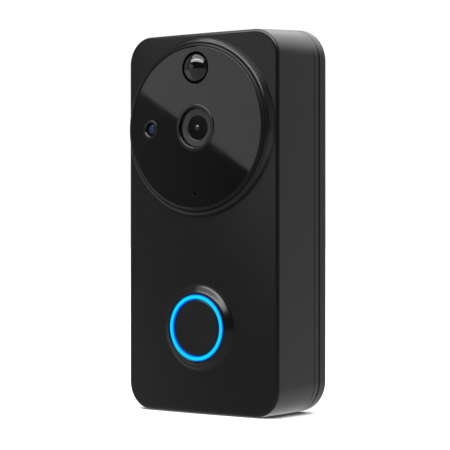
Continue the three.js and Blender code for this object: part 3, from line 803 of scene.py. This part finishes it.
MATERIALS = {
    **{name: moulded(name, **look) for name, look in MOULDED.items()},
    **{name: polished(name, **look) for name, look in POLISHED.items()},
    **{name: metallic(name, **look) for name, look in METALLIC.items()},
    "baffle": baffle(),
    "clear_glass": clear_glass(),
    "light_ring": glowing_ring(),
    "circuit_board": circuit_board(),
}


def paint_cad_nodes():
    """Gives each CAD node its slot's material."""
    for part in frame["record"]["subparts"]:
        node = frame["nodes"][part["node"]]
        node.data.materials.clear()
        node.data.materials.append(MATERIALS[part["material_slot"]].material)


# ---------- housing ----------


def soft_rise(foot, foot_y, crest, crest_y, lean, steps=20):
    """An S-shaped profile from the face to a level crest: lean below 1 broadens the crest."""
    points = []
    for i in range(steps + 1):
        t = i / steps
        share = (1 - math.cos(math.pi * t ** lean)) / 2
        points.append((foot + (crest - foot) * t, foot_y + (crest_y - foot_y) * share))
    return points


def collar_profile(x, cosine):
    """The collar round the camera panel, from the face over its crest and down its bore."""
    foot_y = face_y(x + COLLAR_FOOT * cosine)
    rise = soft_rise(COLLAR_FOOT, foot_y, COLLAR_CREST, COLLAR_TOP, COLLAR_LEAN)
    bore = BEZEL_RADIUS + PANEL_GAP
    over = bend((bore + 0.2, COLLAR_TOP), (bore, COLLAR_TOP), (bore, COLLAR_TOP + 0.2), 5)
    return rise + over + [(bore, PANEL_SHELF), (LIP_RADIUS, PANEL_SHELF), (LIP_RADIUS, INNER_FACE)]


def surround_profile(x, cosine):
    """The raised ring round the button, softly blended into the face."""
    foot_y = face_y(x + SURROUND_FOOT * cosine)
    rise = soft_rise(SURROUND_FOOT, foot_y, SURROUND_CREST, SURROUND_FRONT, SURROUND_LEAN)
    bore = RING_OUTER + RING_GAP
    over = bend((bore + 0.3, SURROUND_FRONT), (bore, SURROUND_FRONT), (bore, SURROUND_FRONT + 0.3), 6)
    return rise + over + [(bore, RING_SHELF), (RING_BORE, RING_SHELF), (RING_BORE, INNER_FACE)]


def front_edge_sections():
    """The front edge's rounding, then the flared side and the chamfer at the parting line."""
    sections = []
    for i in range(EDGE_STEPS + 1):
        angle = (i / EDGE_STEPS) * math.pi / 2
        sections.append((
            -DEPTH + FRONT_EDGE * (1 - math.cos(angle)),
            FRONT_EDGE * (1 - math.sin(angle)),
        ))
    for share in (0.25, 0.5, 0.75):
        sections.append((-DEPTH + FRONT_EDGE + share * (PARTING + DEPTH - FRONT_EDGE), 0))
    chamfer = [(PARTING - CHAMFER, 0), (PARTING - CHAMFER / 2, CHAMFER * FRONT_EASE), (PARTING, CHAMFER)]
    return sections + chamfer


def build_front_housing():
    made = Builder()
    made.loft(front_edge_sections(), crown=True)
    made.patch(
        outline(-DEPTH, FRONT_EDGE),
        [(0, OPTICS_Z, COLLAR_FOOT), (0, BUTTON_Z, SURROUND_FOOT)],
        face_y,
        FACE_SPACING,
    )
    made.swept_ring(0, OPTICS_Z, collar_profile)
    made.swept_ring(0, BUTTON_Z, surround_profile)
    inside = made.loft([(PARTING, CHAMFER), (PARTING, WALL), (INNER_FACE, WALL)])
    rim = [(made.points[i][0], made.points[i][2]) for i in inside[-1]]
    bores = [(0, OPTICS_Z, LIP_RADIUS), (0, BUTTON_Z, RING_BORE)]
    made.patch(rim, bores, lambda x: INNER_FACE, INNER_SPACING)
    obj = new_object("housing_shell", made.points, made.faces, "housing", "housing_plastic",
                     ["front_housing"])
    tidy_mesh(obj)
    slots = []
    for i in range(SLOT_COUNT):
        x = SLOT_PITCH * (i - SLOT_COUNT // 2)
        section = rounded_rectangle(x - SLOT_HALF, x + SLOT_HALF, SLOT_FRONT, SLOT_REAR, SLOT_HALF - 0.01)
        slots.append(prism(section, BASE - OVERCUT, BASE + WALL + OVERCUT, "z"))
    boolean(obj, slots)
    shade(obj, HOUSING_CREASE)
    weighted_normals(obj)


def solid_loft(sections):
    """A closed loft of the body's outline."""
    made = Builder()
    rings = made.loft(sections)
    made.cap(rings[0])
    made.cap(rings[-1])
    return made.points, made.faces


def hook_span(side, clearance=0.0):
    """The lowest and highest x of the bracket's hook on one side."""
    return tuple(sorted((side * (HOOK_NEAR - clearance), side * (HOOK_FAR + clearance))))


def build_rear_cover():
    half = CHAMFER / 2
    points, faces = solid_loft([
        (PARTING, CHAMFER), (PARTING + half, half * REAR_EASE), (PARTING + CHAMFER, 0),
        (COVER_REAR - CHAMFER, 0), (COVER_REAR - half, half * REAR_EASE), (COVER_REAR, CHAMFER),
    ])
    obj = new_object("rear_cover_shell", points, faces, "housing", "housing_plastic",
                     ["rear_cover"])
    tidy_mesh(obj)
    pockets = [hook_span(side, HOOK_CLEARANCE) + HOOK_POCKET_HEIGHTS for side in (-1, 1)]
    pockets.append(LATCH_POCKET)
    cutters = [prism(rounded_rectangle(*box, SOFT_EDGE), PARTING + POCKET_SKIN, 0) for box in pockets]
    for screw in SCREWS:
        cutters.append(prism(circle(screw.x, screw.z, SCREW_WELL), SCREW_SEAT, 0))
        cutters.append(prism(circle(screw.x, screw.z, SCREW_MOUTH), COVER_REAR - SCREW_MOUTH_DEPTH, 0))
    port = rounded_rectangle(PORT.x - PORT_HALF_WIDTH, PORT.x + PORT_HALF_WIDTH,
                             PORT.z - PORT_BELOW, PORT.z + PORT_ABOVE, PORT_CORNER)
    cutters.append(prism(port, COVER_REAR - PORT_RECESS, 0))
    cutters.append(prism(circle(RESET.x, RESET.z, RESET_HOLE), PARTING - OVERCUT, 0))
    for z in GROOVES_Z:
        groove = rounded_rectangle(-GROOVE_LENGTH, GROOVE_LENGTH, z - GROOVE_HALF, z + GROOVE_HALF,
                                   GROOVE_HALF * 0.95)
        cutters.append(prism(groove, COVER_REAR - GROOVE_DEPTH, 0))
    boolean(obj, cutters)
    shade(obj, HOUSING_CREASE)
    weighted_normals(obj)


def build_bracket():
    edge = []
    for i in range(EDGE_STEPS + 1):
        angle = (i / EDGE_STEPS) * math.pi / 2
        edge.append((-BRACKET_EDGE * (1 - math.sin(angle)), BRACKET_EDGE * (1 - math.cos(angle))))
    half = CHAMFER / 2
    chamfer = [
        (BRACKET_FRONT, CHAMFER), (BRACKET_FRONT + half, half * REAR_EASE), (BRACKET_FRONT + CHAMFER, 0),
    ]
    points, faces = solid_loft(chamfer + edge)
    obj = new_object("bracket_shell", points, faces, "bracket", "housing_plastic",
                     ["wall_bracket"])
    tidy_mesh(obj)
    front, rear = BRACKET_FRONT - 1.3, OVERCUT
    pocket = solid_loft([(BRACKET_FRONT - OVERCUT, WALL + CHAMFER), (-BRACKET_PLATE, WALL + CHAMFER)])
    cutters = [pocket, prism(rounded_rectangle(*BRACKET_WINDOW, WINDOW_CORNER), front, rear)]
    for wider, end in ((0, rear), (WALL_SEAT, WALL_SEAT_REAR)):
        for z, half_x, half_z in WALL_SLOTS:
            x, up = half_x + wider, half_z + wider
            section = rounded_rectangle(-x, x, z - up, z + up, min(x, up) - 0.01, 12)
            cutters.append(prism(section, front, end))
    boolean(obj, cutters)
    hooks = []
    for side in (-1, 1):
        near, far = hook_span(side)
        stem = [(near, HOOK_BOTTOM), (far, HOOK_BOTTOM), (far, HOOK_STEM), (near, HOOK_STEM)]
        hooks.append(prism(stem, HOOK_FRONT, HOOK_ROOT))
        tip = rounded_rectangle(near, far, HOOK_BOTTOM + HOOK_ROUNDING, HOOK_TIP, HOOK_ROUNDING)
        hooks.append(prism(tip, HOOK_FRONT, HOOK_STEP))
    boolean(obj, hooks, "UNION")
    shade(obj, HOUSING_CREASE)
    weighted_normals(obj)


# ---------- camera panel ----------


def build_bezel_and_panel():
    bezel_top = PANEL_FRONT - 0.05
    inner = PANEL_RADIUS + PANEL_GAP
    turned("bezel", [
        (BEZEL_INNER, PANEL_SHELF), (BEZEL_RADIUS, PANEL_SHELF), (BEZEL_RADIUS, BEZEL_SIDE),
        *bend((BEZEL_RADIUS - 0.02, BEZEL_SIDE - 0.05), (BEZEL_RADIUS - 0.2, BEZEL_SIDE - 0.35),
              BEZEL_CREST, 4),
        *bend((BEZEL_FALL, bezel_top + 0.03), (inner + 0.1, bezel_top - 0.02),
              (inner, bezel_top + 0.15), 4),
        (inner, PANEL_REAR + 0.3), (BEZEL_INNER, PANEL_REAR + 0.3),
    ], "housing", "bezel_plastic", ["bezel_ring"], z=OPTICS_Z)

    edge = PANEL_EDGE
    made = Builder()
    holes = [
        (0, OPTICS_Z, CAMERA_RADIUS + 0.4), (0, PIR_Z, PIR_RADIUS + 0.2),
        (EYE_X, OPTICS_Z, COLLAR_RADIUS + 0.1), (0, MIC_Z, MIC_HOLE_RADIUS + 0.1),
    ]
    margin = 0.04
    holes = [(x, z, radius + margin) for x, z, radius in holes]
    rim = circle(0, OPTICS_Z, PANEL_RADIUS - edge - margin, ROUND)
    made.flat_patch(rim, holes, PANEL_FRONT)
    outer = [(PANEL_RADIUS - edge - margin, PANEL_FRONT),
             *arc((PANEL_RADIUS - edge, PANEL_FRONT + edge), edge, -90, 0, 5), (PANEL_RADIUS, PANEL_REAR)]
    made.swept_ring(0, OPTICS_Z, lambda x, cosine: outer)
    for x, z, radius in holes:
        near = radius - margin
        wall_radius = near - 0.1
        mouth = bend((near, PANEL_FRONT), (wall_radius, PANEL_FRONT), (wall_radius, PANEL_FRONT + 0.1), 3)
        wall = [(radius, PANEL_FRONT)] + mouth + [(wall_radius, PANEL_REAR), (radius, PANEL_REAR)]
        made.swept_ring(x, z, lambda x, cosine, wall=wall: wall)
    made.flat_patch(circle(0, OPTICS_Z, PANEL_RADIUS, ROUND), holes, PANEL_REAR)
    obj = new_object("glossy_panel", made.points, made.faces, "housing", "gloss_panel",
                     ["lens_panel"])
    tidy_mesh(obj, 0.001)
    shade(obj, PANEL_CREASE)
    weighted_normals(obj)


def build_sensors():
    apex = box_mm("pir_lens")[0].y
    rim = PIR_RADIUS - 0.2
    turned("motion_sensor_dome", [
        *sphere_cap(rim, PIR_SPHERE, apex, 30),
        *bend((rim + 0.02, apex + 4.05), (rim + 0.05, apex + 4.15), (PIR_RADIUS, apex + 4.2), 3),
        (PIR_RADIUS, PIR_REAR), (PIR_BORE, PIR_REAR),
        *sphere_cap(PIR_BORE, PIR_SPHERE - PIR_SKIN, apex + PIR_SKIN, 12)[::-1],
    ], "housing", "gloss_panel", ["pir_lens"], z=PIR_Z, angle=DOME_CREASE)

    front = PANEL_FRONT
    turned("eye_collar", [
        (EYE_RADIUS + 0.25, EYE_COLLAR_REAR), (COLLAR_RADIUS, EYE_COLLAR_REAR),
        (COLLAR_RADIUS, front - 0.02),
        *arc((COLLAR_RADIUS - 0.18, front - 0.02), 0.18, 0, -90, 5),
        *bend((COLLAR_RADIUS - 0.45, front - 0.2), (COLLAR_RADIUS - 0.7, front - 0.2),
              (EYE_RADIUS + 0.45, front + 0.25), 5),
        (EYE_RADIUS + 0.25, front + 0.6),
    ], "housing", "gloss_trim", ["light_sensor_collar"], x=EYE_X, z=OPTICS_Z)
    turned("eye_lens", [
        *dome(EYE_RADIUS, front + 0.45, front + 1.2, 16), (EYE_RADIUS, EYE_REAR), (0, EYE_REAR),
    ], "housing", "sensor_eye", ["light_sensor"], x=EYE_X, z=OPTICS_Z, angle=DOME_CREASE)


def build_camera():
    front = PANEL_FRONT
    width = TRIM_WIDTH
    turned("camera_trim", [
        (CAMERA_RADIUS, TRIM_REAR), (CAMERA_RADIUS + width, TRIM_REAR), (CAMERA_RADIUS + width, front),
        (TRIM_RADIUS, front), *arc((TRIM_RADIUS - width, front - 0.1), width, 0, -90, 6),
        *arc((CAMERA_RADIUS + width, front - 0.1), width, -90, -180, 6),
    ], "housing", "gloss_trim", ["camera_trim_ring"], z=OPTICS_Z)
    turned("camera_window", [
        (0, WINDOW_FRONT), (CAMERA_RADIUS - 0.25, WINDOW_FRONT), (CAMERA_RADIUS - 0.1, WINDOW_FRONT + 0.1),
        (CAMERA_RADIUS - 0.1, WINDOW_REAR), (0, WINDOW_REAR),
    ], "housing", "clear_glass", ["camera_cover_glass"], z=OPTICS_Z)
    inner = PUPIL_RADIUS + 0.15
    turned("camera_surround", [
        (inner, BAFFLE_REAR), (BAFFLE_RADIUS, BAFFLE_REAR), (BAFFLE_RADIUS, BAFFLE_RIM),
        (BAFFLE_RADIUS - 0.25, BAFFLE_RIM),
        *bend((BAFFLE_RADIUS - 0.5, BAFFLE_RIM + 0.02), (inner + 0.5, BAFFLE_RIM + 0.1),
              (inner + 0.1, BAFFLE_FOOT - 0.1), 6),
        (inner, BAFFLE_FOOT),
    ], "housing", "baffle", ["camera_baffle"], z=OPTICS_Z)
    eye = LENS_RADIUS
    turned("objective_lens", [
        *sphere_cap(eye, LENS_SPHERE, LENS_APEX, 16), (eye, LENS_REAR), (0, LENS_REAR),
    ], "housing", "coated_lens", ["front_lens_element"], z=OPTICS_Z, angle=PANEL_CREASE)
    turned("lens_mount", [
        (eye + 0.02, LENS_REAR), (eye + 0.02, MOUNT_LIP + 0.1),
        *bend((eye + 0.1, MOUNT_LIP), (eye + 0.25, MOUNT_LIP - 0.05), (eye + 0.4, MOUNT_LIP), 4),
        (eye + 0.9, MOUNT_FACE), (PUPIL_RADIUS - 0.7, MOUNT_FACE), (PUPIL_RADIUS - 0.5, MOUNT_RIDGE),
        (PUPIL_RADIUS - 0.2, MOUNT_RIDGE), (PUPIL_RADIUS, MOUNT_FACE), (PUPIL_RADIUS, LENS_REAR),
    ], "housing", "coated_lens", z=OPTICS_Z, angle=PANEL_CREASE, look="lens_mount")


# ---------- button ----------


def build_button():
    turned("push_button", [
        *CAP_DISH, *arc((CAP_RADIUS - CAP_EDGE, CAP_SHOULDER), CAP_EDGE, -90, 0, 6),
        (CAP_RADIUS, CAP_HEM), (CAP_FLANGE, CAP_HEM), (CAP_FLANGE, CAP_FLANGE_REAR),
        (CAP_HOLLOW, CAP_FLANGE_REAR), (CAP_HOLLOW, CAP_ROOF), (CAP_POST, CAP_ROOF),
        (CAP_POST, CAP_POST_END), (0, CAP_POST_END),
    ], "button", "button_plastic", ["button_cap"], z=BUTTON_Z)
    turned("glow_ring", [
        (RING_INNER, RING_EDGE),
        *arc((RING_INNER + RING_ROUNDING, RING_EDGE), RING_ROUNDING, -180, -90, 4),
        *arc((RING_OUTER - RING_ROUNDING, RING_EDGE), RING_ROUNDING, -90, 0, 4),
        (RING_OUTER, RING_SHELF), (RING_FLANGE, RING_SHELF), (RING_FLANGE, RING_SHOULDER),
        (CAP_FLANGE + 0.2, RING_SHOULDER), (CAP_FLANGE + 0.2, RING_SHELF), (RING_INNER, RING_SHELF),
    ], "housing", "light_ring", ["light_ring"], z=BUTTON_Z)


# ---------- rear fittings ----------


def build_screws():
    seat = SCREW_SEAT
    rounding = SCREW_ROUNDING
    for index, screw in enumerate(SCREWS, 1):
        profile = [
            (0, SCREW_TIP), (0.5, SCREW_TIP), (SCREW_SHANK, SCREW_TIP + 0.8), (SCREW_SHANK, seat),
            (SCREW_HEAD, seat), (SCREW_HEAD, seat + 0.55),
            *arc((SCREW_HEAD - rounding, seat + SCREW_HEIGHT - rounding), rounding, 0, 90, 5),
            (0, seat + SCREW_HEIGHT),
        ]
        obj = turned(f"screw_{index}", profile, "housing", "screw_steel",
                     [f"housing_screw_{index}"], x=screw.x, z=screw.z)
        crosses = []
        for wide, high in ((SCREW_CROSS, SCREW_BLADE), (SCREW_BLADE, SCREW_CROSS)):
            crosses.append(rounded_rectangle(
                screw.x - wide, screw.x + wide, screw.z - high, screw.z + high, 0.2, 3))
        boolean(obj, [prism(cross, seat + SCREW_RECESS, 0) for cross in crosses])
        shade(obj)


def bevelled(node, width, material_slot, body):
    """A copy of a CAD node with its edges rounded, in its place."""
    source = frame["nodes"][node]
    obj = bpy.data.objects.new(f"{node}_shape", source.data.copy())
    bpy.context.scene.collection.objects.link(obj)
    obj.data.materials.clear()
    obj.data.materials.append(MATERIALS[material_slot].material)
    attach(obj, body)
    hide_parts(node)
    tidy_mesh(obj, 0.001)
    work = bmesh.new()
    work.from_mesh(obj.data)
    bmesh.ops.dissolve_limit(work, angle_limit=math.radians(1), verts=work.verts, edges=work.edges)
    work.to_mesh(obj.data)
    work.free()
    modifier = obj.modifiers.new("edges", "BEVEL")
    modifier.width = width * MM
    modifier.segments = BEVEL_SEGMENTS
    modifier.limit_method = "ANGLE"
    modifier.angle_limit = math.radians(BEVEL_ANGLE)
    apply_modifiers(obj)
    shade(obj, BEVEL_CREASE)
    weighted_normals(obj)


def build_rear_controls():
    bevelled("port_cover", PORT_BEVEL, "rubber", "port_flap")
    bevelled("latch_clip", LATCH_BEVEL, "spring_steel", "bracket")
    turned("reset_plunger", [
        (0, RESET_FLANGE_FRONT), (RESET_FLANGE, RESET_FLANGE_FRONT), (RESET_FLANGE, RESET_FLANGE_REAR),
        (RESET_STEM, RESET_FLANGE_REAR), (RESET_STEM, RESET_SHOULDER),
        *arc((RESET_STEM - RESET_ROUNDING, RESET_SHOULDER), RESET_ROUNDING, 0, 90, 5),
        *bend(*RESET_DISH, 4),
    ], "reset", "rubber", ["reset_button"], x=RESET.x, z=RESET.z)


# ---------- camera, floor and light, in metres and degrees ----------

VIEW_AZIMUTH = 36.42
VIEW_DISTANCE = 0.6145
VIEW_TARGET = Vector((0.01156, -0.030, -0.00158))
VIEW_SENSOR = 36
VIEW_LENS = 137.06

FLOOR_GAP = 0.0002
FLOOR_HALF = 4.0
FLOOR_GLOW = 0.015
BACKDROP_RADIUS = 4.6
BACKDROP_WHITE = 1.05

# The surroundings' even glow, and its wide lamps as (towards, begin, end, strength). A lamp's glow rises
# from nothing to its full strength as the cosine of the angle to its middle goes from begin to end.
AMBIENT = 0.05
WORLD_GLOWS = [
    ((0.35, 0.937, 0.0), -0.1, 0.95, 0.68),
    ((-1.0, 0.0, 0.0), 0.56, 0.70, 0.3),
    ((0.0, 0.0, -1.0), 0.0, 0.2, 0.55),
    ((0.0, 0.75, 0.66), 0.75, 1.0, 2.0),
]
TENT_ENERGY = 3.5
TENT_SPREAD = 75
OVERHEAD_PLACE = (0.06, -0.42, 0.62)
OVERHEAD_TARGET = (0, -0.03, 0.03)
OVERHEAD_SIZE = (1.2, 0.30)
OVERHEAD_RADIANCE = 9.5
FRONT_LOWER_MIDDLE = Vector((-0.489, -0.672, 0.0763))
FRONT_SIZE = (0.55, 0.30)
FRONT_RADIANCE = 1.05
FRONT_SLOPE = math.radians(-31.5)


def build_camera_view():
    data = bpy.data.cameras.new("view")
    camera = bpy.data.objects.new("view", data)
    bpy.context.scene.collection.objects.link(camera)
    angle = math.radians(VIEW_AZIMUTH)
    back = Vector((math.sin(angle), -math.cos(angle), 0))
    camera.location = VIEW_TARGET + back * VIEW_DISTANCE
    camera.rotation_mode = "QUATERNION"
    camera.rotation_quaternion = (-back).to_track_quat("-Z", "Y")
    data.sensor_width = VIEW_SENSOR
    data.lens = VIEW_LENS
    bpy.context.scene.camera = camera


def stage_object(name, mesh, material):
    obj = bpy.data.objects.new(name, mesh)
    bpy.context.scene.collection.objects.link(obj)
    mesh.materials.append(material)
    return obj


def emitter(name, strength):
    made = Nodes(name)
    made.tree.nodes.remove(made.shader)
    glow = made.add("ShaderNodeEmission")
    glow.inputs["Strength"].default_value = strength
    made.link(glow.outputs["Emission"], made.tree.nodes["Material Output"].inputs["Surface"])
    return made.material


def build_stage():
    floor_z = BASE * MM - FLOOR_GAP
    size = FLOOR_HALF
    mesh = bpy.data.meshes.new("floor")
    mesh.from_pydata([(-size, -size, floor_z), (size, -size, floor_z), (size, size, floor_z),
                      (-size, size, floor_z)], [], [(0, 1, 2, 3)])
    paper = moulded("floor_paper", (0.86, 0.86, 0.86), roughness=0.7, grain=2, relief=0.01,
                    spread=0.01, specular=0.1)
    paper.set(Emission_Color=(1, 1, 1, 1), Emission_Strength=FLOOR_GLOW)
    floor = stage_object("floor", mesh, paper.material)
    floor.visible_glossy = False

    work = bmesh.new()
    bmesh.ops.create_uvsphere(work, u_segments=48, v_segments=24, radius=BACKDROP_RADIUS)
    mesh = bpy.data.meshes.new("backdrop")
    work.to_mesh(mesh)
    work.free()
    backdrop = stage_object("backdrop", mesh, emitter("backdrop_white", BACKDROP_WHITE))
    backdrop.visible_diffuse = False
    backdrop.visible_glossy = False
    backdrop.visible_transmission = False
    backdrop.visible_shadow = False


def area_light(name, place, target, width, height, radiance, roll=0.0):
    """A softbox of a given radiance, facing a target."""
    data = bpy.data.lights.new(name, "AREA")
    data.shape = "RECTANGLE"
    data.size = width
    data.size_y = height
    data.energy = radiance * math.pi * width * height
    light = bpy.data.objects.new(name, data)
    bpy.context.scene.collection.objects.link(light)
    facing = (Vector(target) - Vector(place)).to_track_quat("-Z", "Y")
    light.location = place
    light.rotation_mode = "QUATERNION"
    light.rotation_quaternion = facing @ Matrix.Rotation(roll, 3, "Z").to_quaternion()


def build_world():
    """Studio surroundings: dark round the camera, lit behind the object, at its left, above and below."""
    world = bpy.data.worlds.new("studio")
    world.use_nodes = True
    tree = world.node_tree
    background = tree.nodes["Background"]
    background.inputs["Color"].default_value = (1, 1, 1, 1)
    direction = tree.nodes.new("ShaderNodeTexCoord").outputs["Generated"]
    total = None
    for towards, begin, end, glow in WORLD_GLOWS:
        along = tree.nodes.new("ShaderNodeVectorMath")
        along.operation = "DOT_PRODUCT"
        along.inputs[1].default_value = towards
        tree.links.new(direction, along.inputs[0])
        ramp = tree.nodes.new("ShaderNodeMapRange")
        ramp.interpolation_type = "SMOOTHSTEP"
        ramp.inputs["From Min"].default_value = begin
        ramp.inputs["From Max"].default_value = end
        ramp.inputs["To Max"].default_value = glow
        tree.links.new(along.outputs["Value"], ramp.inputs["Value"])
        added = tree.nodes.new("ShaderNodeMath")
        added.inputs[0].default_value = AMBIENT
        if total:
            tree.links.new(total, added.inputs[0])
        tree.links.new(ramp.outputs["Result"], added.inputs[1])
        total = added.outputs["Value"]
    tree.links.new(total, background.inputs["Strength"])
    bpy.context.scene.world = world


def sun_light(name, towards, energy, spread):
    data = bpy.data.lights.new(name, "SUN")
    data.energy = energy
    data.angle = math.radians(spread)
    sun = bpy.data.objects.new(name, data)
    bpy.context.scene.collection.objects.link(sun)
    sun.rotation_mode = "QUATERNION"
    sun.rotation_quaternion = Vector(towards).to_track_quat("-Z", "Y")


def build_lights():
    build_world()
    sun_light("tent", (0, 0, -1), TENT_ENERGY, TENT_SPREAD)
    area_light("overhead_softbox", OVERHEAD_PLACE, OVERHEAD_TARGET, *OVERHEAD_SIZE, OVERHEAD_RADIANCE)

    # The front softbox: its lower edge runs across the glossy panel's reflection at a slope.
    up = Vector((-math.sin(FRONT_SLOPE), 0, math.cos(FRONT_SLOPE)))
    place = FRONT_LOWER_MIDDLE + up * FRONT_SIZE[1] / 2
    ahead = place + Vector((0, 1, 0))
    area_light("front_softbox", place, ahead, *FRONT_SIZE, FRONT_RADIANCE, FRONT_SLOPE)


def main():
    paint_cad_nodes()
    build_front_housing()
    build_rear_cover()
    build_bracket()
    build_bezel_and_panel()
    build_sensors()
    build_camera()
    build_button()
    build_screws()
    build_rear_controls()
    build_camera_view()
    build_stage()
    build_lights()
    bpy.context.scene.view_settings.view_transform = "Standard"


main()
